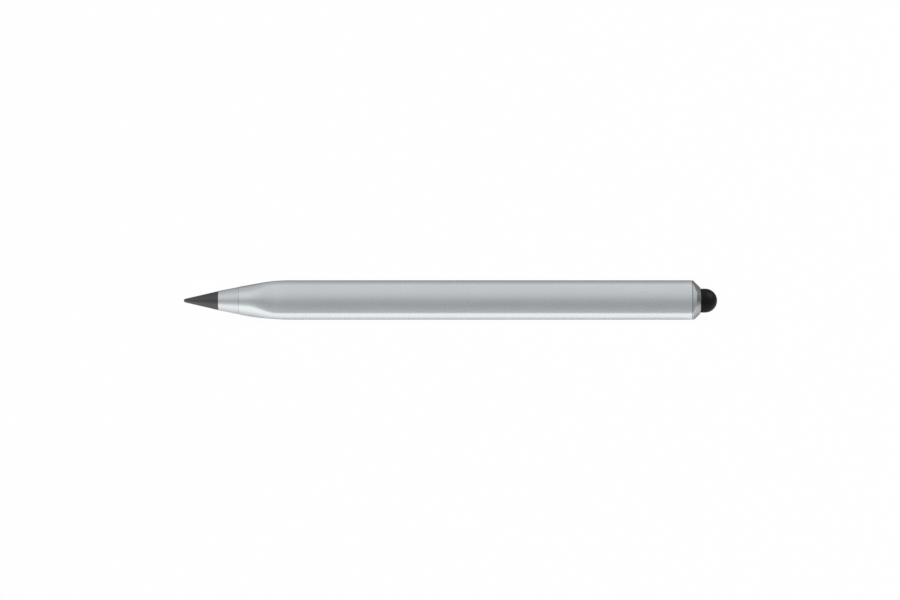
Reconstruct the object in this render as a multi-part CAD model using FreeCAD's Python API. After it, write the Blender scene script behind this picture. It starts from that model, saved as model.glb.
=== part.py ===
import FreeCAD, Part
import math
import os

# Metal pencil with a screw-in writing nib at one end and a soft touch dome at the other.
# Millimetres. The pencil lies along X on one of its three faces, tip towards -X, +Z up.
# The origin is under the middle of the pencil, on the plane it rests on.

# ---- barrel ----
BARREL_LENGTH = 117.2
CORNER_RADIUS = 2.48          # round of each of the three long corners
CORNER_DISTANCE = 3.03        # from the pencil's axis to the centre of a corner round
CROWN_HALF_ANGLE = 20.0       # how far each crowned face turns either side of its middle
LAND_HALF_WIDTH = 0.6         # flat strip ground along the middle of each face
NOSE_RADIUS = 3.59            # round front end of the barrel
NOSE_LENGTH = 13.3            # from the round front end to the full triangle
NOSE_SLOPE = 11.0             # half angle of the nose where it meets the ferrule
TRIANGLE_START = 2.2          # behind the front end, where the faces begin to show
TRIANGLE_END = 9.7            # behind the front end, where the triangle is complete
NOSE_SECTIONS = 12            # cross-sections that the nose is lofted through
BARREL_BORE_RADIUS = 3.4
BORE_SHOULDER_ANGLE = 59.0    # half angle left by the drill where the wide bore ends

# ---- nib ----
NIB_LENGTH = 9.0              # the part that shows
NIB_BASE_RADIUS = 2.475
NIB_TIP_RADIUS = 0.5
NIB_SHANK_RADIUS = 1.25
NIB_SHANK_LENGTH = 4.2

# ---- ferrule and its screw thread (M4 x 0.7) ----
FERRULE_LENGTH = 5.25
FERRULE_FRONT_RADIUS = 2.53
FERRULE_REAR_RADIUS = 3.54
THREAD_RADIUS = 2.0
THREAD_PITCH = 0.7
THREAD_TURNS = 9
THREAD_LEAD_IN = 0.35         # chamfer on the end of the thread

# ---- seal ring and threaded bush in the nose ----
RING_SECTION = 1.0            # side of its square section
RING_CHAMFER = 0.2            # cut corners of the section
BUSH_WALL = 0.65
BUSH_OVERRUN = 0.7            # bush longer than the thread it takes
BUSH_LAND = 1.0               # bore of the bush's size behind the bush

# ---- end cap ----
CAP_LENGTH = 2.1              # the part that shows
CAP_END_RADIUS = 3.3          # flat end that the dome stands on
CAP_CHAMFER_ANGLE = 45.0
CAP_SPIGOT_RADIUS = 2.6
CAP_SPIGOT_LENGTH = 7.5
SLEEVE_LENGTH = 8.0

# ---- touch dome and its post ----
DOME_LENGTH = 4.4
DOME_RADIUS = 3.1
DOME_WALL = 0.7
DOME_LIP = 0.8                # thickness of the lip that buttons behind the post's head
POST_SHANK_RADIUS = 1.2
POST_SHANK_LENGTH = 6.0
POST_NECK_RADIUS = 1.7
POST_HEAD_RADIUS = 2.2
POST_HEAD_LENGTH = 0.6

# ---- clearances ----
SHOULDER_GAP = 0.05           # seam between ferrule and barrel when screwed home
THREAD_GAP = 0.05
RING_GAP = 0.05
PRESS_GAP = 0.01              # between pieces pressed or glued together
DOME_GAP = 0.05
EDGE_BREAK = 0.08             # small chamfer on turned edges

# ---- where things lie along the axis ----
FRONT_LENGTH = NIB_LENGTH + FERRULE_LENGTH + SHOULDER_GAP
OVERALL_LENGTH = FRONT_LENGTH + BARREL_LENGTH + CAP_LENGTH + DOME_LENGTH
TIP_X = -OVERALL_LENGTH / 2
FERRULE_X = TIP_X + NIB_LENGTH
SHOULDER_X = FERRULE_X + FERRULE_LENGTH
BARREL_X = SHOULDER_X + SHOULDER_GAP
CAP_X = BARREL_X + BARREL_LENGTH
CAP_END_X = CAP_X + CAP_LENGTH
DOME_END_X = CAP_END_X + DOME_LENGTH

RING_SEAT_RADIUS = THREAD_RADIUS + RING_SECTION + 2 * RING_GAP
RING_SEAT_DEPTH = RING_SECTION + 2 * RING_GAP
BUSH_X = BARREL_X + RING_SEAT_DEPTH
BUSH_BORE_RADIUS = THREAD_RADIUS + THREAD_GAP
BUSH_RADIUS = BUSH_BORE_RADIUS + BUSH_WALL
THREAD_LENGTH = THREAD_PITCH * THREAD_TURNS
BUSH_LENGTH = THREAD_LENGTH + BUSH_OVERRUN

CORNERS = 3
CORNER_STEP = 360.0 / CORNERS
HALF_STEP = CORNER_STEP / 2
BULGE = math.sin(math.radians(HALF_STEP))


def half_width(corner_radius, corner_distance):
    """Half of the size across two corners, seen square on to a face."""
    return corner_radius + BULGE * corner_distance


def crown_radius(corner_radius, corner_distance):
    """Radius of a crowned face that runs smoothly into both corner rounds."""
    return corner_radius + BULGE * corner_distance / math.sin(math.radians(CROWN_HALF_ANGLE))


def face_distance(corner_radius, corner_distance):
    """From the axis to the middle of a crowned face."""
    turn = math.cos(math.radians(CROWN_HALF_ANGLE))
    rise = crown_radius(corner_radius, corner_distance) * (1 - turn)
    return corner_distance * math.cos(math.radians(HALF_STEP)) + corner_radius * turn + rise


FULL_CROWN = crown_radius(CORNER_RADIUS, CORNER_DISTANCE)
LAND_DEPTH = FULL_CROWN - math.sqrt(FULL_CROWN ** 2 - LAND_HALF_WIDTH ** 2)
AXIS_HEIGHT = face_distance(CORNER_RADIUS, CORNER_DISTANCE) - LAND_DEPTH


def place(x, radius, angle):
    """Point at a radius from the axis, its angle in degrees from straight up."""
    turn = math.radians(angle)
    return FreeCAD.Vector(x, radius * math.sin(turn), AXIS_HEIGHT + radius * math.cos(turn))


def arc_about(centre, radius, start, end):
    """Arc between two angles about a centre, in the plane across the axis."""
    points = []
    for angle in (start, (start + end) / 2, end):
        turn = math.radians(angle)
        points.append(centre + FreeCAD.Vector(0, radius * math.sin(turn), radius * math.cos(turn)))
    return Part.Arc(*points).toShape()


def section(x, corner_radius, corner_distance):
    """Rounded triangle across the axis: a corner round, then a crowned face, three times."""
    crown = crown_radius(corner_radius, corner_distance)
    crown_centre = face_distance(corner_radius, corner_distance) - crown
    edges = []
    for corner in range(CORNERS):
        up = corner * CORNER_STEP
        reach = HALF_STEP - CROWN_HALF_ANGLE
        edges.append(arc_about(place(x, corner_distance, up), corner_radius, up - reach, up + reach))
        face = up + HALF_STEP
        start = face - CROWN_HALF_ANGLE
        end = face + CROWN_HALF_ANGLE
        edges.append(arc_about(place(x, crown_centre, face), crown, start, end))
    return Part.Wire(edges)


def ease(value, start, end):
    """Smooth step from 0 at start to 1 at end."""
    share = min(max((value - start) / (end - start), 0.0), 1.0)
    return share * share * (3 - 2 * share)


def nose_half_width(behind):
    """Half width of the nose at a distance behind its front end: sloped at first, level at last."""
    share = behind / NOSE_LENGTH
    full = half_width(CORNER_RADIUS, CORNER_DISTANCE)
    slope = math.tan(math.radians(NOSE_SLOPE)) * NOSE_LENGTH
    level = share * share * (3 - 2 * share)
    return NOSE_RADIUS + (full - NOSE_RADIUS) * level + slope * share * (1 - share) ** 2


def nose():
    """Round front end drawn out through changing sections into the full rounded triangle."""
    wires = []
    for step in range(NOSE_SECTIONS + 1):
        behind = NOSE_LENGTH * step / NOSE_SECTIONS
        corner_distance = CORNER_DISTANCE * ease(behind, TRIANGLE_START, TRIANGLE_END)
        corner_radius = nose_half_width(behind) - BULGE * corner_distance
        wires.append(section(BARREL_X + behind, corner_radius, corner_distance))
    return Part.makeLoft(wires, True, False)


def prism(start_x, end_x):
    """Straight length of the full rounded triangle."""
    face = Part.Face(section(start_x, CORNER_RADIUS, CORNER_DISTANCE))
    return face.extrude(FreeCAD.Vector(end_x - start_x, 0, 0))


def ground_faces(body, start_x, end_x):
    """Grind the narrow flat land along the middle of each face."""
    margin = 1.0
    point = AXIS_HEIGHT / math.cos(math.radians(HALF_STEP))
    corners = [place(start_x - margin, point, corner * CORNER_STEP) for corner in range(CORNERS)]
    wire = Part.makePolygon(corners + corners[:1])
    run = FreeCAD.Vector(end_x - start_x + 2 * margin, 0, 0)
    return body.common(Part.Face(wire).extrude(run))


def rod(start_x, end_x, radius):
    """Cylinder on the axis."""
    along = FreeCAD.Vector(1, 0, 0)
    return Part.makeCylinder(radius, end_x - start_x, FreeCAD.Vector(start_x, 0, AXIS_HEIGHT), along)


def turned(profile):
    """Revolve a closed outline about the axis. Points are (x, radius); three-point arcs are tuples."""
    edges = []
    here = profile[0]
    for step in profile[1:] + profile[:1]:
        if isinstance(step[0], tuple):
            middle, there = step
            arc = Part.Arc(on_plane(here), on_plane(middle), on_plane(there))
            edges.append(arc.toShape())
        else:
            there = step
            edges.append(Part.makeLine(on_plane(here), on_plane(there)))
        here = there
    face = Part.Face(Part.Wire(edges))
    return face.revolve(FreeCAD.Vector(0, 0, AXIS_HEIGHT), FreeCAD.Vector(1, 0, 0), 360)


def turned_rear():
    """What the cone at the rear end leaves: all of the pencil ahead of the cone, and less behind."""
    clear = 1.2 * (CORNER_DISTANCE + CORNER_RADIUS)
    cone_x = CAP_END_X - (clear - CAP_END_RADIUS) / math.tan(math.radians(CAP_CHAMFER_ANGLE))
    return turned([
        (BARREL_X, 0),
        (BARREL_X, clear),
        (cone_x, clear),
        (CAP_END_X, CAP_END_RADIUS),
        (CAP_END_X, 0),
    ])


def on_plane(point):
    """Point of a turned outline in the upright plane through the axis."""
    return FreeCAD.Vector(point[0], 0, AXIS_HEIGHT + point[1])


def nib():
    """Blunt cone with a shank that is glued into the ferrule."""
    centre_x = TIP_X + NIB_TIP_RADIUS
    base_x = FERRULE_X
    reach = math.hypot(base_x - centre_x, NIB_BASE_RADIUS)
    lean = math.atan2(NIB_BASE_RADIUS, base_x - centre_x) + math.acos(NIB_TIP_RADIUS / reach)
    middle = (lean + math.pi) / 2

    def on_tip(angle):
        return (centre_x + NIB_TIP_RADIUS * math.cos(angle), NIB_TIP_RADIUS * math.sin(angle))

    shank_end = base_x + NIB_SHANK_LENGTH
    return turned([
        (TIP_X, 0),
        (on_tip(middle), on_tip(lean)),
        (base_x, NIB_BASE_RADIUS),
        (base_x, NIB_SHANK_RADIUS),
        (shank_end - EDGE_BREAK, NIB_SHANK_RADIUS),
        (shank_end, NIB_SHANK_RADIUS - EDGE_BREAK),
        (shank_end, 0),
    ])


def nib_ferrule():
    """Tapered collar with a blind bore for the nib's shank and a threaded stud behind."""
    thread_end = BUSH_X + THREAD_LENGTH
    slope = (FERRULE_REAR_RADIUS - FERRULE_FRONT_RADIUS) / FERRULE_LENGTH
    body = turned([
        (FERRULE_X, 0),
        (FERRULE_X, FERRULE_FRONT_RADIUS - EDGE_BREAK),
        (FERRULE_X + EDGE_BREAK, FERRULE_FRONT_RADIUS + slope * EDGE_BREAK),
        (SHOULDER_X - EDGE_BREAK, FERRULE_REAR_RADIUS - slope * EDGE_BREAK),
        (SHOULDER_X, FERRULE_REAR_RADIUS - EDGE_BREAK),
        (SHOULDER_X, THREAD_RADIUS),
        (thread_end - THREAD_LEAD_IN, THREAD_RADIUS),
        (thread_end, THREAD_RADIUS - THREAD_LEAD_IN),
        (thread_end, 0),
    ])
    bore_end = FERRULE_X + NIB_SHANK_LENGTH + PRESS_GAP
    return body.cut(rod(FERRULE_X - 1, bore_end, NIB_SHANK_RADIUS + PRESS_GAP))


def seal_ring():
    """Lathe-cut rubber ring on the ferrule's neck, in the counterbore of the nose."""
    front = BARREL_X + RING_GAP
    back = front + RING_SECTION
    inner = THREAD_RADIUS + RING_GAP
    outer = inner + RING_SECTION
    return turned([
        (front, inner + RING_CHAMFER),
        (front, outer - RING_CHAMFER),
        (front + RING_CHAMFER, outer),
        (back - RING_CHAMFER, outer),
        (back, outer - RING_CHAMFER),
        (back, inner + RING_CHAMFER),
        (back - RING_CHAMFER, inner),
        (front + RING_CHAMFER, inner),
    ])


def nose_bush():
    """Threaded bush pressed into the nose."""
    end = BUSH_X + BUSH_LENGTH
    bore = BUSH_BORE_RADIUS
    return turned([
        (BUSH_X, bore),
        (BUSH_X, BUSH_RADIUS - EDGE_BREAK),
        (BUSH_X + EDGE_BREAK, BUSH_RADIUS),
        (end - EDGE_BREAK, BUSH_RADIUS),
        (end, BUSH_RADIUS - EDGE_BREAK),
        (end, bore),
    ])


def barrel():
    """Long shell: lofted nose, straight triangle, stepped bore from both ends."""
    nose_end = BARREL_X + NOSE_LENGTH
    body = nose().fuse(prism(nose_end, CAP_X).common(turned_rear()))
    body = ground_faces(body, BARREL_X, CAP_X)
    seat_end = BUSH_X
    narrow_end = BUSH_X + BUSH_LENGTH + BUSH_LAND
    narrow = BUSH_RADIUS + PRESS_GAP
    shoulder = (BARREL_BORE_RADIUS - narrow) / math.tan(math.radians(BORE_SHOULDER_ANGLE))
    bore = turned([
        (BARREL_X - 1, 0),
        (BARREL_X - 1, RING_SEAT_RADIUS),
        (seat_end, RING_SEAT_RADIUS),
        (seat_end, narrow),
        (narrow_end, narrow),
        (narrow_end + shoulder, BARREL_BORE_RADIUS),
        (CAP_X + 1, BARREL_BORE_RADIUS),
        (CAP_X + 1, 0),
    ])
    return body.cut(bore)


def cap_sleeve():
    """Thin sleeve in the rear bore that grips the end cap's spigot."""
    outer = rod(CAP_X - SLEEVE_LENGTH, CAP_X, BARREL_BORE_RADIUS - PRESS_GAP)
    return outer.cut(rod(CAP_X - SLEEVE_LENGTH - 1, CAP_X + 1, CAP_SPIGOT_RADIUS + PRESS_GAP))


def end_cap():
    """Triangular cap turned to a cone at its rear, with a spigot and a bore for the post."""
    rim = ground_faces(prism(CAP_X, CAP_END_X), CAP_X, CAP_END_X)
    start = CAP_X - CAP_SPIGOT_LENGTH
    spigot = turned([
        (start, 0),
        (start, CAP_SPIGOT_RADIUS - 3 * EDGE_BREAK),
        (start + 3 * EDGE_BREAK, CAP_SPIGOT_RADIUS),
        (CAP_X, CAP_SPIGOT_RADIUS),
        (CAP_X, 0),
    ])
    body = rim.common(turned_rear()).fuse(spigot).removeSplitter()
    return body.cut(rod(start - 1, CAP_END_X + 1, POST_SHANK_RADIUS + PRESS_GAP))


def stylus_post():
    """Mushroom post: a shank pressed into the cap, a neck and a wider head for the dome."""
    neck_end = CAP_END_X + DOME_LIP + DOME_GAP
    head_end = neck_end + POST_HEAD_LENGTH
    bevel = POST_HEAD_LENGTH / 2
    start = CAP_END_X - POST_SHANK_LENGTH
    return turned([
        (start, 0),
        (start, POST_SHANK_RADIUS - EDGE_BREAK),
        (start + EDGE_BREAK, POST_SHANK_RADIUS),
        (CAP_END_X, POST_SHANK_RADIUS),
        (CAP_END_X, POST_NECK_RADIUS),
        (neck_end, POST_NECK_RADIUS),
        (neck_end, POST_HEAD_RADIUS),
        (head_end - bevel, POST_HEAD_RADIUS),
        (head_end, POST_HEAD_RADIUS - bevel),
        (head_end, 0),
    ])


def stylus_dome():
    """Hollow soft cup with a half-ball end and an inner lip round the post's neck."""
    centre_x = DOME_END_X - DOME_RADIUS
    inside = DOME_RADIUS - DOME_WALL
    lip = POST_NECK_RADIUS + DOME_GAP
    bend = math.sqrt(0.5)
    start = CAP_END_X + PRESS_GAP
    return turned([
        (start, lip),
        (start, DOME_RADIUS),
        (centre_x, DOME_RADIUS),
        ((centre_x + DOME_RADIUS * bend, DOME_RADIUS * bend), (DOME_END_X, 0)),
        (centre_x + inside, 0),
        ((centre_x + inside * bend, inside * bend), (centre_x, inside)),
        (CAP_END_X + DOME_LIP, inside),
        (CAP_END_X + DOME_LIP, lip),
    ])


PIECES = (nib, nib_ferrule, seal_ring, nose_bush, barrel, cap_sleeve, end_cap, stylus_post, stylus_dome)

os.makedirs("parts", exist_ok=True)
for piece in PIECES:
    solid = piece().Solids[0]
    solid.exportStep("parts/" + piece.__name__ + ".step")
    print(piece.__name__, "valid", solid.isValid(), "volume", round(solid.Volume, 2))
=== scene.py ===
import math
from typing import NamedTuple

import bmesh
import bpy
from bpy.props import FloatProperty, FloatVectorProperty, IntProperty, PointerProperty
from bpy.types import Operator, Panel, PropertyGroup
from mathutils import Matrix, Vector


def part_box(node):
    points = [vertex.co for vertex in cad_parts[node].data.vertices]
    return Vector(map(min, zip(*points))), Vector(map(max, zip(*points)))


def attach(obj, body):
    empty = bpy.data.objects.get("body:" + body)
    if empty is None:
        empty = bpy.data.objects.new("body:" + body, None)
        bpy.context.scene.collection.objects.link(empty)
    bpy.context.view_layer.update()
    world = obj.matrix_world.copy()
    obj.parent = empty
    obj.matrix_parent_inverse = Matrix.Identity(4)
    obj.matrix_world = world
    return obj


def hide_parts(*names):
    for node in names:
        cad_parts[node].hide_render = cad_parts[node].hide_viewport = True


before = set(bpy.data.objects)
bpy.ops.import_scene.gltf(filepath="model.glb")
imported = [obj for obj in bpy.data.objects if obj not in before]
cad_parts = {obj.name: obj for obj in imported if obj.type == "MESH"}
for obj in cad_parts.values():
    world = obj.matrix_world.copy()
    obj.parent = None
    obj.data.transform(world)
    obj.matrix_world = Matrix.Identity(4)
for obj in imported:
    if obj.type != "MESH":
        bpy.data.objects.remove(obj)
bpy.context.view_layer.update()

bl_info = {
    "name": "Metal pencil",
    "version": (1, 0, 0),
    "blender": (4, 5, 0),
    "location": "3D View > Sidebar > Pencil",
    "description": "Builds a triangular metal pencil with a screw-in nib and a soft touch dome",
    "category": "Object",
}

MM = 0.001
AROUND = 180                  # points round a ring of the outer shell
AROUND_SMALL = 96             # points round a ring of a small turned piece
SUPPORT = 0.15 * MM           # rings this far from an edge keep its wear narrow
CORNERS = 3                   # long corners of the shell
SURFACE_LAYERS = ("wear", "turning", "grime")
WELD_DISTANCE = 0.0004 * MM   # points this close are made one
SLIVER_LENGTH = 0.0001 * MM   # edges shorter than this are taken out
SMALL_ANGLE = 1e-9            # for comparing angles


# ---- places, read from the frame ----

def ends(node):
    """Lowest and highest x of a node."""
    low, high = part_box(node)
    return low.x, high.x


def reach(node):
    """Largest radius of a turned node."""
    low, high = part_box(node)
    return (high.y - low.y) / 2


def middle_height(node):
    """Height of a node's middle."""
    low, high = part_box(node)
    return (high.z + low.z) / 2


AXIS_HEIGHT = middle_height("stylus_dome")
TIP_X, SHANK_END_X = ends("nib")
FERRULE_X, THREAD_END_X = ends("nib_ferrule")
BARREL_X, SEAM_X = ends("barrel")
RING_X, RING_END_X = ends("seal_ring")
BUSH_X, BUSH_END_X = ends("nose_bush")
SLEEVE_X = ends("cap_sleeve")[0]
SPIGOT_X, CAP_END_X = ends("end_cap")
POST_X, POST_END_X = ends("stylus_post")
DOME_X, DOME_END_X = ends("stylus_dome")


# ---- what a user would change ----

def length(name, description, millimetres):
    return FloatProperty(name=name, description=description, default=millimetres * MM,
                         unit="LENGTH", precision=5)


def turn(name, description, degrees):
    return FloatProperty(name=name, description=description, default=math.radians(degrees),
                         subtype="ANGLE")


def colour(name, description, red, green, blue):
    return FloatVectorProperty(name=name, description=description, default=(red, green, blue),
                               subtype="COLOR", min=0.0, max=1.0)


class ShellSizes(PropertyGroup):
    """Sizes of the barrel and the end cap."""
    corner_radius: length("Corner radius", "Round of each long corner", 2.48)
    corner_distance: length("Corner distance", "From the axis to the centre of a corner round", 3.03)
    crown_angle: turn("Crown half angle", "How far a crowned face turns either side of its middle", 20.0)
    nose_radius: length("Nose radius", "Round front end of the barrel", 3.59)
    nose_length: length("Nose length", "From the front end to the full triangle", 13.3)
    nose_slope: turn("Nose slope", "Half angle of the nose at its front end", 11.0)
    faces_start: length("Faces start", "Where the three faces begin behind the front end", 2.2)
    faces_end: length("Faces end", "Where the triangle is complete behind the front end", 9.7)
    bore_radius: length("Bore radius", "Wide bore of the barrel", 3.4)
    seat_radius: length("Ring seat radius", "Counterbore for the seal ring", 3.1)
    cap_end_radius: length("Cap end radius", "Flat end that the dome stands on", 3.41)
    cone_angle: turn("Cone angle", "Slope of the cone turned on the rear end", 45.0)
    spigot_radius: length("Spigot radius", "Spigot of the end cap", 2.6)
    edge_round: length("Edge round", "Rounding of the shell's rims", 0.03)
    seam_chamfer: length("Seam chamfer", "Chamfer on either side of the seam at the cap", 0.03)
    seam_gap: length("Seam gap", "Shadow gap between barrel and cap", 0.12)
    seam_depth: length("Seam depth", "Depth of the shadow gap", 0.5)


class NibSizes(PropertyGroup):
    """Sizes of the nib and its ferrule."""
    tip_radius: length("Tip radius", "Blunt tip of the nib", 0.5)
    base_radius: length("Base radius", "Wide end of the nib's cone", 2.475)
    shank_radius: length("Shank radius", "Shank glued into the ferrule", 1.25)
    ferrule_front: length("Ferrule front radius", "Narrow end of the ferrule", 2.53)
    ferrule_rear: length("Ferrule rear radius", "Wide end of the ferrule", 3.54)
    ferrule_length: length("Ferrule length", "The part of the ferrule that shows", 5.25)
    thread_radius: length("Thread radius", "Outside of the screw thread", 2.0)
    thread_depth: length("Thread depth", "Crest to root of the screw thread", 0.42)
    thread_pitch: length("Thread pitch", "Travel for one turn", 0.7)
    thread_gap: length("Thread gap", "Clearance between the two threads", 0.06)
    glue_gap: length("Glue gap", "Clearance between pieces pressed or glued together", 0.01)


class RearSizes(PropertyGroup):
    """Sizes of the touch dome and its post."""
    dome_radius: length("Dome radius", "Outside of the soft dome", 3.1)
    dome_wall: length("Dome wall", "Thickness of the soft dome", 0.7)
    lip_length: length("Lip length", "Lip that buttons behind the post's head", 0.8)
    shank_radius: length("Post shank radius", "Shank pressed into the end cap", 1.2)
    neck_radius: length("Post neck radius", "Neck inside the dome's lip", 1.7)
    head_radius: length("Post head radius", "Head that holds the dome", 2.2)
    head_length: length("Post head length", "Thickness of the post's head", 0.6)
    gap: length("Dome gap", "Clearance between dome and post", 0.05)
    ribs: IntProperty(name="Sleeve ribs", description="Crush ribs round the sleeve", default=12, min=3)


class FinishColours(PropertyGroup):
    """Colours of the finishes."""
    aluminium: colour("Aluminium", "Satin shell", 0.91, 0.943, 0.968)
    nib: colour("Nib alloy", "Metal and graphite point", 0.135, 0.135, 0.139)
    rubber: colour("Rubber", "Dome and seal ring", 0.0045, 0.0047, 0.005)
    brass: colour("Brass", "Bush and post", 0.76, 0.58, 0.28)
    nylon: colour("Nylon", "Sleeve in the rear bore", 0.80, 0.79, 0.74)
    floor: colour("Floor", "Pale floor", 0.92, 0.92, 0.92)


# ---- rings and skins ----

class Ring(NamedTuple):
    """Points round the axis, with how much rubbing and painted highlight, lathe turning and painted shade the
    skin has there, each from 0 to 1.
    """
    points: list
    wear: float = 0.0
    turning: float = 0.0
    grime: float = 0.0


def on_ring(x, radius, angle):
    """Point at a radius from the axis, its angle from straight up."""
    return Vector((x, radius * math.sin(angle), AXIS_HEIGHT + radius * math.cos(angle)))


def spokes():
    """Angles of the points round a small turned piece."""
    return [2 * math.pi * step / AROUND_SMALL for step in range(AROUND_SMALL)]


def circle(x, radius):
    return [on_ring(x, radius, angle) for angle in spokes()]


def pole(x):
    return [on_ring(x, 0, 0)]


def skin(name, rings, loop=False, crisp=180):
    """Closed mesh through rings joined in order, the last to the first as well where they make a loop.

    Edges that turn by more than the crisp angle, in degrees, are shaded sharp."""
    mesh = bpy.data.meshes.new(name)
    work = bmesh.new()
    for layer_name in SURFACE_LAYERS:
        work.verts.layers.float.new(layer_name)
    made = []
    for ring in rings:
        points = [work.verts.new(point) for point in ring.points]
        for layer_name in SURFACE_LAYERS:
            layer = work.verts.layers.float[layer_name]
            for point in points:
                point[layer] = getattr(ring, layer_name)
        made.append(points)
    pairs = list(zip(made, made[1:]))
    if loop:
        pairs.append((made[-1], made[0]))
    for first, second in pairs:
        count = max(len(first), len(second))
        for step in range(count):
            after = (step + 1) % count
            corners = [first[step % len(first)], first[after % len(first)],
                       second[after % len(second)], second[step % len(second)]]
            work.faces.new(list(dict.fromkeys(corners)))
    bmesh.ops.remove_doubles(work, verts=work.verts, dist=WELD_DISTANCE)
    bmesh.ops.dissolve_degenerate(work, edges=work.edges, dist=SLIVER_LENGTH)
    bmesh.ops.recalc_face_normals(work, faces=work.faces)
    for face in work.faces:
        face.smooth = True
    for edge in work.edges:
        edge.smooth = edge.calc_face_angle(0.0) < math.radians(crisp)
    work.to_mesh(mesh)
    work.free()
    piece = bpy.data.objects.new(name, mesh)
    bpy.context.scene.collection.objects.link(piece)
    return piece


def round_edges(piece, width, steps=2, angle=35):
    """Small rounds on the sharp edges, with shading that keeps the flat faces flat."""
    bevel = piece.modifiers.new("edge_round", "BEVEL")
    bevel.width = width
    bevel.segments = steps
    bevel.limit_method = "ANGLE"
    bevel.angle_limit = math.radians(angle)
    bevel.miter_outer = "MITER_ARC"
    weighted = piece.modifiers.new("flat_faces", "WEIGHTED_NORMAL")
    weighted.mode = "FACE_AREA"
    weighted.weight = 50


def supported(outline):
    """Outline of (x, radius) points with full wear, plus unworn points near them where there is room."""
    out = []
    for here, there in zip(outline, outline[1:]):
        start, end = Vector(here), Vector(there)
        out.append((start, 1.0))
        run = (end - start).length
        if run > 2.5 * SUPPORT:
            out.append((start.lerp(end, SUPPORT / run), 0.0))
            out.append((end.lerp(start, SUPPORT / run), 0.0))
    out.append((Vector(outline[-1]), 1.0))
    return out


def arc(centre_x, radius, start, end, steps):
    """Points of an arc about a centre on the axis, angles from +X, as (x, radius)."""
    turns = [start + (end - start) * step / steps for step in range(steps + 1)]
    return [(centre_x + radius * math.cos(angle), radius * math.sin(angle)) for angle in turns]


def turned(outline, turning=0.0):
    """Rings of an outline of ((x, radius), wear) turned about the axis."""
    return [Ring(circle(x, radius) if radius > 0 else pole(x), wear, turning)
            for (x, radius), wear in outline]


def add_piece(piece, body, node, finish):
    """Gives a piece its finish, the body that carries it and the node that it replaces."""
    piece.data.materials.append(finish)
    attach(piece, body)
    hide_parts(node)


# ---- the shell's rounded triangle ----

def full_width(sizes):
    """Half of the size across two corners."""
    return sizes.corner_radius + math.sin(math.pi / CORNERS) * sizes.corner_distance


def triangle(x, corner_radius, corner_distance, crown_angle):
    """Ring whose points have evenly turned normals: three corner rounds joined by three crowned faces."""
    spread = 2 * math.pi / CORNERS
    bulge = math.sin(spread / 2)
    crown = corner_radius + bulge * corner_distance / math.sin(crown_angle)
    face = corner_distance * math.cos(spread / 2) + corner_radius * math.cos(crown_angle)
    face += crown * (1 - math.cos(crown_angle))
    ring = []
    for step in range(AROUND):
        normal = 2 * math.pi * step / AROUND
        corner = round(normal / spread) * spread
        past = abs(normal - corner)
        if past <= spread / 2 - crown_angle + SMALL_ANGLE:
            centre, radius, towards = corner_distance, corner_radius, corner
        else:
            side = math.copysign(spread / 2, normal - corner)
            centre, radius, towards = face - crown, crown, corner + side
        point = on_ring(x, centre, towards) + on_ring(0, radius, normal) - on_ring(0, 0, 0)
        point.z = max(point.z, 0.0)      # the flat land that it rests on
        ring.append(point)
    return ring


def ease(value, start, end):
    """Smooth step from 0 at start to 1 at end."""
    share = min(max((value - start) / (end - start), 0.0), 1.0)
    return share * share * (3 - 2 * share)


def shell_ring(x, sizes):
    """Ring of the shell's outside at x: round at the front end, the full triangle behind the nose."""
    behind = x - BARREL_X
    share = min(behind / sizes.nose_length, 1.0)
    # the width is a cubic: it leaves the front end at the nose's slope and arrives level
    width = sizes.nose_radius
    width += (full_width(sizes) - sizes.nose_radius) * ease(behind, 0.0, sizes.nose_length)
    width += math.tan(sizes.nose_slope) * sizes.nose_length * share * (1 - share) ** 2
    distance = sizes.corner_distance * ease(behind, sizes.faces_start, sizes.faces_end)
    radius = width - math.sin(math.pi / CORNERS) * distance
    return triangle(x, radius, distance, sizes.crown_angle)


def off_axis(point):
    """Distance and angle of a point from the axis, the angle from straight up."""
    rise = point.z - AXIS_HEIGHT
    return math.hypot(point.y, rise), math.atan2(point.y, rise)


def cone_radius(x, sizes):
    """Radius at x of the cone turned on the rear end."""
    return sizes.cap_end_radius + (CAP_END_X - x) * math.tan(sizes.cone_angle)


def crease(sizes, low, high):
    """Ring where the cone meets the triangle, kept between two values of x."""
    ring = []
    for point in shell_ring(SEAM_X, sizes):
        distance, angle = off_axis(point)
        met = CAP_END_X - (distance - sizes.cap_end_radius) / math.tan(sizes.cone_angle)
        x = min(max(met, low), high)
        ring.append(on_ring(x, min(distance, cone_radius(x, sizes)), angle))
    return ring


def inset(ring, depth, x):
    """The ring moved to x and drawn in towards the axis by a depth."""
    return [on_ring(x, off_axis(point)[0] - depth, off_axis(point)[1]) for point in ring]


def between(first, second, share):
    """Ring part of the way from one ring to another."""
    return [start.lerp(end, share) for start, end in zip(first, second)]


def matched(x, radius, pattern):
    """Circle whose points lie at the same angles as a pattern ring's."""
    return [on_ring(x, radius, off_axis(point)[1]) for point in pattern]


# ---- shader maths ----

class Number:
    """A number in a node tree: expressions on it add Math nodes."""

    def __init__(self, tree, socket):
        self.tree = tree
        self.socket = socket

    def maths(self, operation, first, second):
        return self.tree.add("ShaderNodeMath", {"operation": operation}, {0: first, 1: second})

    def __add__(self, other):
        return self.maths("ADD", self, other)

    def __sub__(self, other):
        return self.maths("SUBTRACT", self, other)

    def __rsub__(self, other):
        return self.maths("SUBTRACT", other, self)

    def __mul__(self, other):
        return self.maths("MULTIPLY", self, other)

    def __truediv__(self, other):
        return self.maths("DIVIDE", self, other)

    __radd__ = __add__


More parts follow.
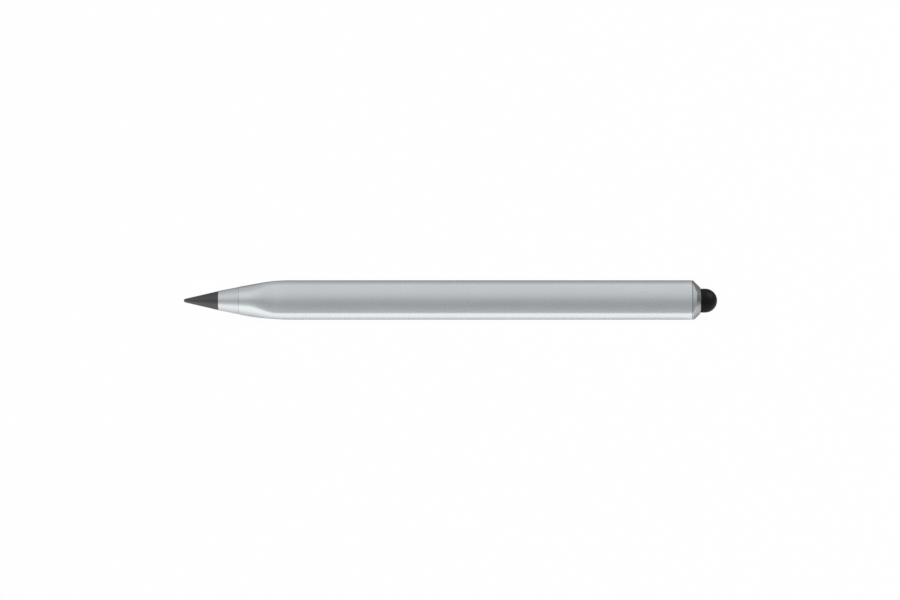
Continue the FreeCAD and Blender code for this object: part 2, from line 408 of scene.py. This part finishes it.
class Tree:
    """Node tree of a material or of the world."""

    def __init__(self, owner):
        owner.use_nodes = True
        self.nodes = owner.node_tree.nodes
        self.links = owner.node_tree.links
        self.nodes.clear()

    def add(self, kind, settings=None, inputs=None, output=0):
        """New node with its settings, then its sockets' values or links. Returns one of its outputs."""
        node = self.nodes.new(kind)
        for name, value in (settings or {}).items():
            if name == "stops":
                self.set_stops(node.color_ramp, value)
            else:
                setattr(node, name, value)
        for name, value in (inputs or {}).items():
            if isinstance(value, Number):
                self.links.new(value.socket, node.inputs[name])
            else:
                node.inputs[name].default_value = value
        return Number(self, node.outputs[output]) if node.outputs else None

    def set_stops(self, ramp, stops):
        """Grey stops of a ramp, as (position, brightness)."""
        for position, brightness in stops[2:]:
            ramp.elements.new(position)
        for element, (position, brightness) in zip(ramp.elements, stops):
            element.position = position
            element.color = (brightness, brightness, brightness, 1)

    def coordinates(self):
        """Place on the piece in millimetres."""
        place = self.add("ShaderNodeTexCoord", output="Object")
        return self.add("ShaderNodeVectorMath", {"operation": "SCALE"}, {0: place, "Scale": 1 / MM})

    def part(self, vector, axis):
        return self.add("ShaderNodeSeparateXYZ", None, {0: vector}, axis)

    def noise(self, place, per_mm=1.0, detail=2.0, roughness=0.5):
        """Soft noise from 0 to 1, with that many features to the millimetre."""
        inputs = {"Vector": place, "Scale": per_mm, "Detail": detail, "Roughness": roughness}
        return self.add("ShaderNodeTexNoise", None, inputs)

    def stretched(self, place, along, across):
        """Place scaled along the pencil and across it."""
        inputs = {0: place, 1: (along, across, across)}
        return self.add("ShaderNodeVectorMath", {"operation": "MULTIPLY"}, inputs)

    def lathe_lines(self, place, per_mm):
        """Fine lines round the axis, such as a turning tool leaves."""
        return self.noise(self.stretched(place, along=per_mm, across=0.02))

    def blend(self, share, first, second):
        """Mix of two colours."""
        settings = {"data_type": "RGBA"}
        return self.add("ShaderNodeMix", settings, {0: share, 6: opaque(first), 7: opaque(second)}, 2)

    def ramp(self, value, stops):
        return self.add("ShaderNodeValToRGB", {"stops": stops}, {0: value})

    def bump(self, height, depth):
        """Normal for a height from 0 to 1 that stands for a depth in metres."""
        return self.add("ShaderNodeBump", None, {"Height": height, "Distance": depth, "Strength": 1.0})

    def shade(self, shader_inputs):
        """Principled surface joined to the output."""
        surface = self.add("ShaderNodeBsdfPrincipled", None, shader_inputs)
        self.add("ShaderNodeOutputMaterial", None, {"Surface": surface})


def opaque(value):
    """A plain colour gets its alpha; a link stays as it is."""
    return value if isinstance(value, Number) else (*value, 1.0)


def tinted(shade, factor):
    """A plain colour made lighter or darker."""
    return tuple(min(channel * factor, 1.0) for channel in shade)


def finish(name):
    """New material, and its empty node tree."""
    material = bpy.data.materials.new(name)
    return material, Tree(material)


# ---- finishes ----

# painted shade: near-black colour given to the seam's gap in place of its shadow
PAINTED_SHADE_COLOUR = (0.02, 0.02, 0.02)


def satin_aluminium(shade, name="blasted_aluminium", roughness=0.28,
                    turned_roughness=0.34, turned_tone=0.93):
    """Blasted and anodised aluminium: fine grain, faint clouding, lathe lines where turned, rubbed edges
    painted lighter as a highlight, painted shade in the seam's gap.

    turned_tone is the brightness of the turned faces as a share of the shade."""
    material, tree = finish(name)
    place = tree.coordinates()
    grain = tree.noise(place, per_mm=3.0, detail=3.0, roughness=0.6)
    fleck = tree.noise(place, per_mm=9.0, detail=1.0)
    cloud = tree.noise(tree.stretched(place, along=0.08, across=0.3), detail=3.0)
    lathe = tree.lathe_lines(place, per_mm=9.0)
    wear, turning, grime = (tree.add("ShaderNodeAttribute", {"attribute_name": layer_name}, output="Fac")
                            for layer_name in SURFACE_LAYERS)
    # rubbed rims and creases: a little glossier, and painted a little lighter, partly wear and partly a
    # painted highlight
    rubbed = wear * tree.noise(place, per_mm=2.0)
    clouded = tree.blend(cloud, tinted(shade, 0.97), tinted(shade, 1.02))
    tone = tree.blend(turning, clouded, tinted(shade, turned_tone))
    speckled = tree.blend(grain * 0.5 + fleck * 0.5, tree.blend(0.5, tone, tinted(shade, 0.965)), tone)
    # painted highlight: the rubbed edges are lightened, partly wear and partly the highlight on the rims
    worn_and_highlit = tree.blend(rubbed, speckled, tinted(shade, 1.05))
    # painted shade: in the seam's gap the aluminium turns near black, dull and unmetallic, in place of the
    # gap's shadow
    colour_out = tree.blend(grime, worn_and_highlit, PAINTED_SHADE_COLOUR)
    height = (grain * 0.6 + fleck * 0.4) * (1 - turning * 0.4) + lathe * turning * 0.4
    normal = tree.bump(height, 0.0025 * MM)
    rough = turning * (turned_roughness - roughness) + roughness
    rough = rough + (grain - 0.5) * 0.1 + (cloud - 0.5) * 0.06 - rubbed * 0.08 + grime * 0.5
    tree.shade({"Base Color": colour_out, "Metallic": 1 - grime, "Roughness": rough, "Normal": normal})
    return material


def nib_alloy(shade):
    """Dark pressed alloy: mottled grains, turned lines, a rubbed tip."""
    material, tree = finish("point_alloy")
    place = tree.coordinates()
    mottle = tree.noise(place, per_mm=2.6, detail=4.0, roughness=0.65)
    grain = tree.noise(place, per_mm=9.0)
    lathe = tree.lathe_lines(place, per_mm=7.0)
    behind_tip = tree.part(place, 0) - TIP_X / MM
    rub_length = 4.0              # millimetres that the ramp spans
    rubbed = tree.ramp(behind_tip / rub_length, [(0.0, 1.0), (0.12, 0.8), (0.5, 0.0)])
    tone = tree.blend(mottle, tinted(shade, 0.86), tinted(shade, 1.14))
    colour_out = tree.blend(rubbed * 0.5, tone, tinted(shade, 1.35))
    normal = tree.bump(mottle * 0.35 + grain * 0.35 + lathe * 0.3, 0.012 * MM)
    rough = 0.44 + (mottle - 0.5) * 0.16 - rubbed * 0.08
    tree.shade({"Base Color": colour_out, "Metallic": 1.0, "Roughness": rough, "Normal": normal})
    return material


def soft_rubber(shade):
    """Matte black moulded rubber with a faint bloom."""
    material, tree = finish("soft_rubber")
    place = tree.coordinates()
    skin_grain = tree.noise(place, per_mm=12.0)
    bloom = tree.noise(place, per_mm=0.9, detail=3.0)
    colour_out = tree.blend(bloom, tinted(shade, 0.85), tinted(shade, 1.3))
    normal = tree.bump(skin_grain, 0.004 * MM)
    rough = 0.5 + (bloom - 0.5) * 0.12
    tree.shade({"Base Color": colour_out, "Roughness": rough, "Normal": normal, "IOR": 1.4,
                "Specular IOR Level": 0.25})
    return material


def brass(shade):
    """Free-cutting brass straight from the lathe."""
    material, tree = finish("turned_brass")
    place = tree.coordinates()
    lathe = tree.lathe_lines(place, per_mm=11.0)
    stain = tree.noise(place, per_mm=0.7, detail=3.0)
    colour_out = tree.blend(stain, tinted(shade, 0.85), tinted(shade, 1.05))
    normal = tree.bump(lathe, 0.006 * MM)
    rough = 0.24 + lathe * 0.08 + stain * 0.06
    tree.shade({"Base Color": colour_out, "Metallic": 1.0, "Roughness": rough, "Normal": normal})
    return material


def nylon(shade):
    """Natural moulded nylon."""
    material, tree = finish("moulded_nylon")
    place = tree.coordinates()
    mottle = tree.noise(place, per_mm=1.4, detail=3.0)
    colour_out = tree.blend(mottle, tinted(shade, 0.94), tinted(shade, 1.03))
    normal = tree.bump(tree.noise(place, per_mm=8.0), 0.005 * MM)
    rough = 0.42 + (mottle - 0.5) * 0.1
    tree.shade({"Base Color": colour_out, "Roughness": rough, "Normal": normal, "IOR": 1.53,
                "Subsurface Weight": 0.15, "Subsurface Radius": (MM, MM, MM)})
    return material


# ---- screw thread ----

def thread_share(x, angle, pitch):
    """0 at the thread's root and 1 at its crest, for a right-hand thread along the axis."""
    flank_slope = 2.4             # depths to a pitch: 2 would leave no flat at root and crest
    root_cut = 0.1                # keeps the two flats alike
    phase = (x / pitch - angle / (2 * math.pi)) % 1.0
    flank = flank_slope * (0.5 - abs(phase - 0.5)) - root_cut
    return min(max(flank, 0.0), 1.0)


def threaded(start, end, sizes, gap, lead_in):
    """Rings of a helical thread, whose groove deepens from nothing over the first pitch.

    Its crest is cut down at 45 degrees over the lead-in at its end, where it has one."""
    per_turn = 20
    count = round((end - start) / sizes.thread_pitch * per_turn)
    root = sizes.thread_radius - sizes.thread_depth
    rings = []
    for step in range(count + 1):
        x = start + (end - start) * step / count
        share = ease(x, start, start + sizes.thread_pitch)
        limit = sizes.thread_radius - max(0.0, x - (end - lead_in))
        ring = []
        for angle in spokes():
            crest = root + sizes.thread_depth * thread_share(x, angle, sizes.thread_pitch)
            crest = sizes.thread_radius * (1 - share) + crest * share
            ring.append(on_ring(x, min(crest, limit) + gap, angle))
        rings.append(ring)
    return rings


# ---- pieces ----

DRILL_SLOPE = math.radians(59)        # half of a drill's point angle
SHELL_CRISP = 15                      # degrees, past which an edge of the shell is shaded sharp
RIM_LAND = SUPPORT / 3                # width over which the painted shade of the seam sets in
SPIGOT_CHAMFER = 0.24 * MM
SPIGOT_GROOVES = (2.2 * MM, 3.6 * MM, 5.0 * MM)     # behind the spigot's front end
GROOVE_DEPTH = 0.1 * MM


class PencilOperator:
    """What the operators share."""
    bl_options = {"REGISTER", "UNDO"}


class PENCIL_OT_nib(PencilOperator, Operator):
    """Writing nib: a blunt cone with a shank"""
    bl_idname = "pencil.nib"
    bl_label = "Nib"

    def execute(self, context):
        sizes = context.scene.nib_sizes
        tip_centre = TIP_X + sizes.tip_radius
        run = FERRULE_X - tip_centre
        away = math.hypot(run, sizes.base_radius)
        lean = math.atan2(sizes.base_radius, run) + math.acos(sizes.tip_radius / away)
        tip = [(point, 1.0) for point in arc(tip_centre, sizes.tip_radius, math.pi, lean, steps=10)]
        tip[0] = ((TIP_X, 0), 1.0)
        cone_start = Vector(tip[-1][0])
        base = Vector((FERRULE_X, sizes.base_radius))
        cone_steps = 14
        cone = [(cone_start.lerp(base, step / cone_steps), 0.0) for step in range(1, cone_steps)]
        rear = supported([(FERRULE_X, sizes.base_radius), (FERRULE_X, sizes.shank_radius),
                          (SHANK_END_X, sizes.shank_radius), (SHANK_END_X, 0)])
        piece = skin("nib", turned(tip + cone + rear))
        round_edges(piece, width=0.03 * MM)
        add_piece(piece, "nib_unit", "nib", nib_alloy(context.scene.finish_colours.nib))
        return {"FINISHED"}


class PENCIL_OT_ferrule(PencilOperator, Operator):
    """Tapered ferrule with a bore for the nib and a threaded stud"""
    bl_idname = "pencil.ferrule"
    bl_label = "Nib ferrule"

    def execute(self, context):
        sizes = context.scene.nib_sizes
        shoulder_x = FERRULE_X + sizes.ferrule_length
        bore = sizes.shank_radius + sizes.glue_gap
        bore_end = SHANK_END_X + sizes.glue_gap
        front = supported([(bore_end, bore), (FERRULE_X, bore), (FERRULE_X, sizes.ferrule_front),
                           (shoulder_x, sizes.ferrule_rear), (shoulder_x, sizes.thread_radius),
                           (BUSH_X - SUPPORT, sizes.thread_radius)])
        thread = threaded(BUSH_X, THREAD_END_X, sizes, gap=0.0, lead_in=sizes.thread_depth)
        rings = [Ring(pole(bore_end), turning=1.0)] + turned(front, turning=1.0)
        rings += [Ring(points, wear=0.3, turning=1.0) for points in thread]
        rings.append(Ring(pole(THREAD_END_X), turning=1.0))
        piece = skin("nib_ferrule", rings)
        round_edges(piece, context.scene.shell_sizes.edge_round, angle=50)
        add_piece(piece, "nib_unit", "nib_ferrule", shared_aluminium(context))
        return {"FINISHED"}


class PENCIL_OT_seal_ring(PencilOperator, Operator):
    """Lathe-cut rubber ring on the ferrule's neck"""
    bl_idname = "pencil.seal_ring"
    bl_label = "Seal ring"

    def execute(self, context):
        outer = reach("seal_ring")
        inner = outer - (RING_END_X - RING_X)
        corners = [(RING_X, inner), (RING_X, outer), (RING_END_X, outer), (RING_END_X, inner)]
        outline = supported(corners + corners[:1])[:-1]
        piece = skin("seal_ring", turned(outline), loop=True)
        round_edges(piece, width=0.2 * MM, steps=4)
        add_piece(piece, "ring_carrier", "seal_ring", shared_rubber(context))
        return {"FINISHED"}


class PENCIL_OT_nose_bush(PencilOperator, Operator):
    """Knurled brass bush with the inside thread"""
    bl_idname = "pencil.nose_bush"
    bl_label = "Nose bush"

    def execute(self, context):
        sizes = context.scene.nib_sizes
        outer = reach("nose_bush")
        collar = 0.8 * MM
        knurl_depth = 0.08 * MM
        mouth = sizes.thread_radius + sizes.thread_gap
        inside = threaded(BUSH_X + SUPPORT, BUSH_END_X - SUPPORT, sizes, gap=sizes.thread_gap, lead_in=0.0)

        def knurled(x):
            """Ring on which every other point is sunk."""
            return [on_ring(x, outer - (0.0 if spoke % 2 else knurl_depth), angle)
                    for spoke, angle in enumerate(spokes())]

        front_x = BUSH_X + collar
        rear_x = BUSH_END_X - collar
        rings = [circle(BUSH_X, mouth)] + inside + [circle(BUSH_END_X, mouth), circle(BUSH_END_X, outer)]
        rings += [circle(rear_x, outer), knurled(rear_x), knurled(front_x), circle(front_x, outer)]
        rings.append(circle(BUSH_X, outer))
        piece = skin("nose_bush", [Ring(points) for points in rings], loop=True)
        round_edges(piece, width=0.02 * MM, steps=1, angle=60)
        add_piece(piece, "barrel_unit", "nose_bush", shared_brass(context))
        return {"FINISHED"}


class PENCIL_OT_barrel(PencilOperator, Operator):
    """Barrel: a shell from a round nose to a crowned triangle, with a stepped bore"""
    bl_idname = "pencil.barrel"
    bl_label = "Barrel"

    def execute(self, context):
        sizes = context.scene.shell_sizes
        nose_end = BARREL_X + sizes.nose_length
        nose_steps = 72
        straight_steps = 24
        rear_x = SEAM_X - 1.0 * MM
        step_length = (rear_x - nose_end) / straight_steps
        places = [BARREL_X + sizes.nose_length * step / nose_steps for step in range(1, nose_steps)]
        places += [nose_end + step_length * step for step in range(straight_steps + 1)]
        front = shell_ring(BARREL_X + sizes.edge_round, sizes)
        # front rim: rubbing and a painted highlight
        rings = [Ring(inset(front, sizes.edge_round, BARREL_X), wear=1.0), Ring(front, wear=1.0)]
        rings += [Ring(shell_ring(x, sizes)) for x in places]
        gap_x = SEAM_X - sizes.seam_gap
        chamfer_x = gap_x - sizes.seam_chamfer
        rear = crease(sizes, rear_x, chamfer_x)
        rim = inset(rear, sizes.seam_chamfer, gap_x)
        seat = inset(rim, sizes.seam_depth, gap_x)
        # crease and rim: rubbing and a painted highlight
        rings += [Ring(crease(sizes, rear_x, chamfer_x - SUPPORT)), Ring(rear, wear=1.0), Ring(rim, wear=0.3)]
        # painted shade: the walls and floor of the seam's gap are tinted near black in place of their shadow
        shadow = (inset(rim, RIM_LAND, gap_x), seat, inset(seat, 0.0, SEAM_X))
        rings += [Ring(points, grime=1.0) for points in shadow]
        hole = reach("nose_bush") + context.scene.nib_sizes.glue_gap
        hole_end = BUSH_END_X + 1.0 * MM
        shoulder_x = hole_end + (sizes.bore_radius - hole) / math.tan(DRILL_SLOPE)
        bore = ((SEAM_X, sizes.bore_radius), (shoulder_x, sizes.bore_radius), (hole_end, hole),
                (BUSH_X, hole), (BUSH_X, sizes.seat_radius), (BARREL_X, sizes.seat_radius))
        rings += [Ring(matched(x, radius, rim)) for x, radius in bore]
        piece = skin("barrel", rings, loop=True, crisp=SHELL_CRISP)
        add_piece(piece, "barrel_unit", "barrel", shared_aluminium(context))
        return {"FINISHED"}


class PENCIL_OT_cap_sleeve(PencilOperator, Operator):
    """Ribbed nylon sleeve that grips the end cap's spigot"""
    bl_idname = "pencil.cap_sleeve"
    bl_label = "Cap sleeve"

    def execute(self, context):
        rear = context.scene.rear_sizes
        outer = reach("cap_sleeve")
        inner = context.scene.shell_sizes.spigot_radius + context.scene.nib_sizes.glue_gap
        rib = 0.08 * MM
        lead = 0.6 * MM

        def ribbed(x):
            """Ring that dips between the crush ribs."""
            return [on_ring(x, outer - rib * (1 - math.cos(angle * rear.ribs)) / 2, angle)
                    for angle in spokes()]

        rings = [circle(SLEEVE_X, inner), circle(SLEEVE_X, outer), ribbed(SLEEVE_X + lead),
                 ribbed(SEAM_X - lead), circle(SEAM_X, outer), circle(SEAM_X, inner)]
        piece = skin("cap_sleeve", [Ring(points) for points in rings], loop=True)
        round_edges(piece, width=0.04 * MM)
        add_piece(piece, "barrel_unit", "cap_sleeve", nylon(context.scene.finish_colours.nylon))
        return {"FINISHED"}


class PENCIL_OT_end_cap(PencilOperator, Operator):
    """End cap: the triangle cut by a turned cone, with a grooved spigot and a bore for the post"""
    bl_idname = "pencil.end_cap"
    bl_label = "End cap"

    def execute(self, context):
        sizes = context.scene.shell_sizes
        bore = context.scene.rear_sizes.shank_radius + context.scene.nib_sizes.glue_gap
        chamfer_x = SEAM_X + sizes.seam_chamfer
        shoulder = crease(sizes, chamfer_x, chamfer_x)
        edge = crease(sizes, chamfer_x, CAP_END_X)
        rim = inset(shoulder, sizes.seam_chamfer, SEAM_X)
        seat = inset(rim, sizes.seam_depth, SEAM_X)
        end = matched(CAP_END_X, sizes.cap_end_radius, seat)
        # painted shade: the walls and floor of the seam's gap on the cap are tinted near black in place of
        # their shadow
        rings = [Ring(seat, grime=1.0), Ring(inset(rim, RIM_LAND, SEAM_X), grime=1.0)]
        # rim, shoulder and crease: rubbing and a painted highlight
        rings += [Ring(rim, wear=0.3), Ring(shoulder, wear=1.0)]
        # the side, from the seam to the crease
        for share, wear in ((0.3, 0.0), (0.93, 0.0), (0.97, 1.0)):
            rings.append(Ring(between(shoulder, edge, share), wear))
        # the turned cone, from the crease to the flat end
        for share, wear in ((0.04, 1.0), (0.08, 0.0), (0.5, 0.0), (0.96, 0.0), (1.0, 1.0)):
            rings.append(Ring(between(edge, end, share), wear, turning=1.0))
        spigot = [(CAP_END_X, bore), (SPIGOT_X, bore), (SPIGOT_X, sizes.spigot_radius - SPIGOT_CHAMFER),
                  (SPIGOT_X + SPIGOT_CHAMFER, sizes.spigot_radius)]
        for groove_x in SPIGOT_GROOVES:
            start = SPIGOT_X + groove_x
            floor_radius = sizes.spigot_radius - GROOVE_DEPTH
            spigot += [(start, sizes.spigot_radius), (start + GROOVE_DEPTH, floor_radius),
                       (start + 2 * GROOVE_DEPTH, sizes.spigot_radius)]
        spigot.append((SEAM_X, sizes.spigot_radius))
        rings += [Ring(matched(x, radius, seat), turning=1.0) for x, radius in spigot]
        piece = skin("end_cap", rings, loop=True, crisp=SHELL_CRISP)
        # the cap is written a tenth darker than the barrel; painted shade: its turned cone is written at 42
        # percent of that, for the dark that the cone reflects
        shade = tinted(context.scene.finish_colours.aluminium, 0.9)
        cap_finish_shaded_cone = satin_aluminium(shade, "cap_aluminium_painted_shade", roughness=0.16,
                                     turned_roughness=0.4, turned_tone=0.42)
        add_piece(piece, "barrel_unit", "end_cap", cap_finish_shaded_cone)
        return {"FINISHED"}


class PENCIL_OT_stylus_post(PencilOperator, Operator):
    """Brass mushroom post that holds the dome"""
    bl_idname = "pencil.stylus_post"
    bl_label = "Stylus post"

    def execute(self, context):
        sizes = context.scene.rear_sizes
        chamfer = 0.08 * MM
        head_x = POST_END_X - sizes.head_length
        slope = sizes.head_length / 2
        outline = supported([(POST_X, 0), (POST_X, sizes.shank_radius - chamfer),
                             (POST_X + chamfer, sizes.shank_radius), (CAP_END_X, sizes.shank_radius),
                             (CAP_END_X, sizes.neck_radius), (head_x, sizes.neck_radius),
                             (head_x, sizes.head_radius), (POST_END_X - slope, sizes.head_radius),
                             (POST_END_X, sizes.head_radius - slope), (POST_END_X, 0)])
        piece = skin("stylus_post", turned(outline))
        round_edges(piece, width=0.05 * MM)
        add_piece(piece, "barrel_unit", "stylus_post", shared_brass(context))
        return {"FINISHED"}


class PENCIL_OT_stylus_dome(PencilOperator, Operator):
    """Hollow rubber dome with a lip behind the post's head"""
    bl_idname = "pencil.stylus_dome"
    bl_label = "Stylus dome"

    def execute(self, context):
        sizes = context.scene.rear_sizes
        centre = DOME_END_X - sizes.dome_radius
        inside = sizes.dome_radius - sizes.dome_wall
        lip = sizes.neck_radius + sizes.gap
        lip_x = CAP_END_X + sizes.lip_length
        quarter = math.pi / 2
        outer = arc(centre, sizes.dome_radius, quarter, 0, steps=24)
        outer[-1] = (DOME_END_X, 0)
        inner = arc(centre, inside, 0, quarter, steps=16)
        inner[0] = (centre + inside, 0)
        rim_x = DOME_X + 0.4 * MM
        cup = [(DOME_X, lip), (DOME_X, sizes.dome_radius), (rim_x, sizes.dome_radius)] + outer
        cavity = inner + [(lip_x, inside), (lip_x, lip)]
        piece = skin("stylus_dome", turned([(point, 0.0) for point in cavity + cup]))
        round_edges(piece, width=0.12 * MM, steps=3)
        add_piece(piece, "barrel_unit", "stylus_dome", shared_rubber(context))
        return {"FINISHED"}


# ---- finishes that several pieces share ----

def shared(name, make, shade):
    """The finish of that name, made the first time that a piece asks for it."""
    return bpy.data.materials.get(name) or make(shade)


def shared_aluminium(context):
    return shared("blasted_aluminium", satin_aluminium, context.scene.finish_colours.aluminium)


def shared_rubber(context):
    return shared("soft_rubber", soft_rubber, context.scene.finish_colours.rubber)


def shared_brass(context):
    return shared("turned_brass", brass, context.scene.finish_colours.brass)


# ---- stage ----

CAMERA_RISE = math.radians(23.5)
CAMERA_AWAY = 0.96            # metres from the aim
CAMERA_LENS = 148.4           # millimetres
SENSOR_WIDTH = 36             # millimetres
AIM = Vector((-0.116 * MM, 0, AXIS_HEIGHT + 0.175 * MM))       # what the picture's middle shows
FLOOR_RADIUS = 60.0
FLOOR_SIDES = 64
CONTACT_REACH = 6.5 * MM      # how far from the pencil the floor darkens in reflections
SOFTBOX_PLACE = (1.64, 0.12, 1.88)
SOFTBOX_SIZE = 1.8
SOFTBOX_WATTS = 34.0
ROOM_COLOUR = (0.973, 0.99, 1.0)


def floor_finish(shade):
    """Pale floor. The camera sees it white, with a trace of the pencil's shadow.

    In reflections it is white, dark right beside the pencil, and mirrors the room at a slant. From
    below it is clear."""
    material, tree = finish("floor")
    rays = tree.add("ShaderNodeLightPath").socket.node.outputs
    camera, glossy, passed = (Number(tree, rays[name])
                              for name in ("Is Camera Ray", "Is Glossy Ray", "Is Transmission Ray"))
    lit = tree.add("ShaderNodeBsdfDiffuse", None, {"Color": (*shade, 1)})
    white = tree.add("ShaderNodeEmission", None, {"Color": (1, 1, 1, 1), "Strength": 1.0})
    open_floor = tree.add("ShaderNodeAmbientOcclusion", {"samples": 8}, {"Distance": CONTACT_REACH}, "AO")
    camera_white = 0.98           # the rest keeps a trace of the shadow
    share = camera * camera_white + (glossy + passed) * open_floor
    sheet = tree.add("ShaderNodeMixShader", None, {0: share, 1: lit, 2: white})
    gloss = tree.add("ShaderNodeBsdfGlossy", None, {"Color": (1, 1, 1, 1), "Roughness": 0.1})
    slant = tree.add("ShaderNodeLayerWeight", None, {"Blend": 0.5}, "Facing")
    glare = tree.ramp(slant, [(0.62, 0.06), (0.72, 0.32), (0.83, 0.8), (1.0, 1.0)])
    sheen = glare * (1 - camera)
    top = tree.add("ShaderNodeMixShader", None, {0: sheen, 1: sheet, 2: gloss})
    clear = tree.add("ShaderNodeBsdfTransparent")
    below = tree.add("ShaderNodeNewGeometry", output="Backfacing")
    surface = tree.add("ShaderNodeMixShader", None, {0: below, 1: top, 2: clear})
    tree.add("ShaderNodeOutputMaterial", None, {"Surface": surface})
    return material


def light_room(world):
    """Soft studio: palest high up and a little towards the nib, dim low down and past the dome's end."""
    tree = Tree(world)
    towards = tree.add("ShaderNodeTexCoord", output="Generated")
    x, y, z = (tree.part(towards, axis) for axis in range(3))
    # 0 is level on the camera's side, 0.5 overhead and 1 level on the far side
    rise = tree.add("ShaderNodeMath", {"operation": "ARCTAN2"}, {0: z, 1: y * -1.0}) / math.pi
    across = tree.ramp(rise, [(0.0, 0.41), (0.09, 0.32), (0.16, 0.35), (0.24, 0.51), (0.33, 0.57),
                              (0.5, 0.55), (0.59, 0.42), (0.78, 0.4), (1.0, 0.12)])
    # 0 is the nib's end and 1 the dome's
    along = tree.ramp(x * 0.5 + 0.5, [(0.0, 0.9), (0.32, 1.25), (0.5, 1.0), (0.67, 0.97), (0.93, 0.22)])
    glow = tree.add("ShaderNodeBackground", None, {"Color": (*ROOM_COLOUR, 1), "Strength": across * along})
    tree.add("ShaderNodeOutputWorld", None, {"Surface": glow})


def add_softbox():
    """Square softbox aimed at the pencil."""
    lamp = bpy.data.lights.new("softbox", "AREA")
    lamp.shape = "SQUARE"
    lamp.size = SOFTBOX_SIZE
    lamp.energy = SOFTBOX_WATTS
    softbox = bpy.data.objects.new("softbox", lamp)
    softbox.location = SOFTBOX_PLACE
    softbox.rotation_mode = "QUATERNION"
    softbox.rotation_quaternion = (Vector(SOFTBOX_PLACE) - AIM).to_track_quat("Z", "Y")
    bpy.context.scene.collection.objects.link(softbox)


def add_camera():
    """Camera at the photograph's angle."""
    lens = bpy.data.cameras.new("camera")
    lens.lens = CAMERA_LENS
    lens.sensor_width = SENSOR_WIDTH
    lens.clip_start = 0.05
    lens.clip_end = 200
    camera = bpy.data.objects.new("camera", lens)
    away = Vector((0, -math.cos(CAMERA_RISE), math.sin(CAMERA_RISE)))
    camera.location = AIM + CAMERA_AWAY * away
    camera.rotation_euler = (math.pi / 2 - CAMERA_RISE, 0, 0)
    bpy.context.scene.collection.objects.link(camera)
    bpy.context.scene.camera = camera


def add_floor(shade):
    """Wide round sheet under the pencil."""
    turns = [2 * math.pi * step / FLOOR_SIDES for step in range(FLOOR_SIDES)]
    corners = [(FLOOR_RADIUS * math.cos(angle), FLOOR_RADIUS * math.sin(angle), 0) for angle in turns]
    mesh = bpy.data.meshes.new("floor")
    mesh.from_pydata(corners, [], [range(FLOOR_SIDES)])
    floor = bpy.data.objects.new("floor", mesh)
    floor.data.materials.append(floor_finish(shade))
    bpy.context.scene.collection.objects.link(floor)


class PENCIL_OT_stage(PencilOperator, Operator):
    """Pale floor, soft light and the camera"""
    bl_idname = "pencil.stage"
    bl_label = "Stage"

    def execute(self, context):
        scene = context.scene
        add_floor(scene.finish_colours.floor)
        scene.world = bpy.data.worlds.new("studio")
        light_room(scene.world)
        add_softbox()
        add_camera()
        scene.view_settings.view_transform = "Standard"
        return {"FINISHED"}


class PENCIL_PT_build(Panel):
    """Buttons and sizes of the pencil"""
    bl_idname = "PENCIL_PT_build"
    bl_label = "Metal pencil"
    bl_space_type = "VIEW_3D"
    bl_region_type = "UI"
    bl_category = "Pencil"

    def draw(self, context):
        for operator in OPERATORS:
            self.layout.operator(operator.bl_idname)
        for name in GROUPS:
            group = getattr(context.scene, name)
            box = self.layout.box()
            for field in group.bl_rna.properties:
                if field.identifier not in ("name", "rna_type"):
                    box.prop(group, field.identifier)


OPERATORS = (PENCIL_OT_nib, PENCIL_OT_ferrule, PENCIL_OT_seal_ring, PENCIL_OT_nose_bush, PENCIL_OT_barrel,
             PENCIL_OT_cap_sleeve, PENCIL_OT_end_cap, PENCIL_OT_stylus_post, PENCIL_OT_stylus_dome,
             PENCIL_OT_stage)
GROUPS = {
    "shell_sizes": ShellSizes,
    "nib_sizes": NibSizes,
    "rear_sizes": RearSizes,
    "finish_colours": FinishColours,
}


def register():
    for made in (*GROUPS.values(), *OPERATORS, PENCIL_PT_build):
        bpy.utils.register_class(made)
    for name, group in GROUPS.items():
        setattr(bpy.types.Scene, name, PointerProperty(type=group))


def unregister():
    for name in GROUPS:
        delattr(bpy.types.Scene, name)
    for made in (PENCIL_PT_build, *reversed(OPERATORS), *reversed(GROUPS.values())):
        bpy.utils.unregister_class(made)


def main():
    register()
    for operator in OPERATORS:
        group, name = operator.bl_idname.split(".")
        getattr(getattr(bpy.ops, group), name)()


if __name__ == "__main__":
    main()
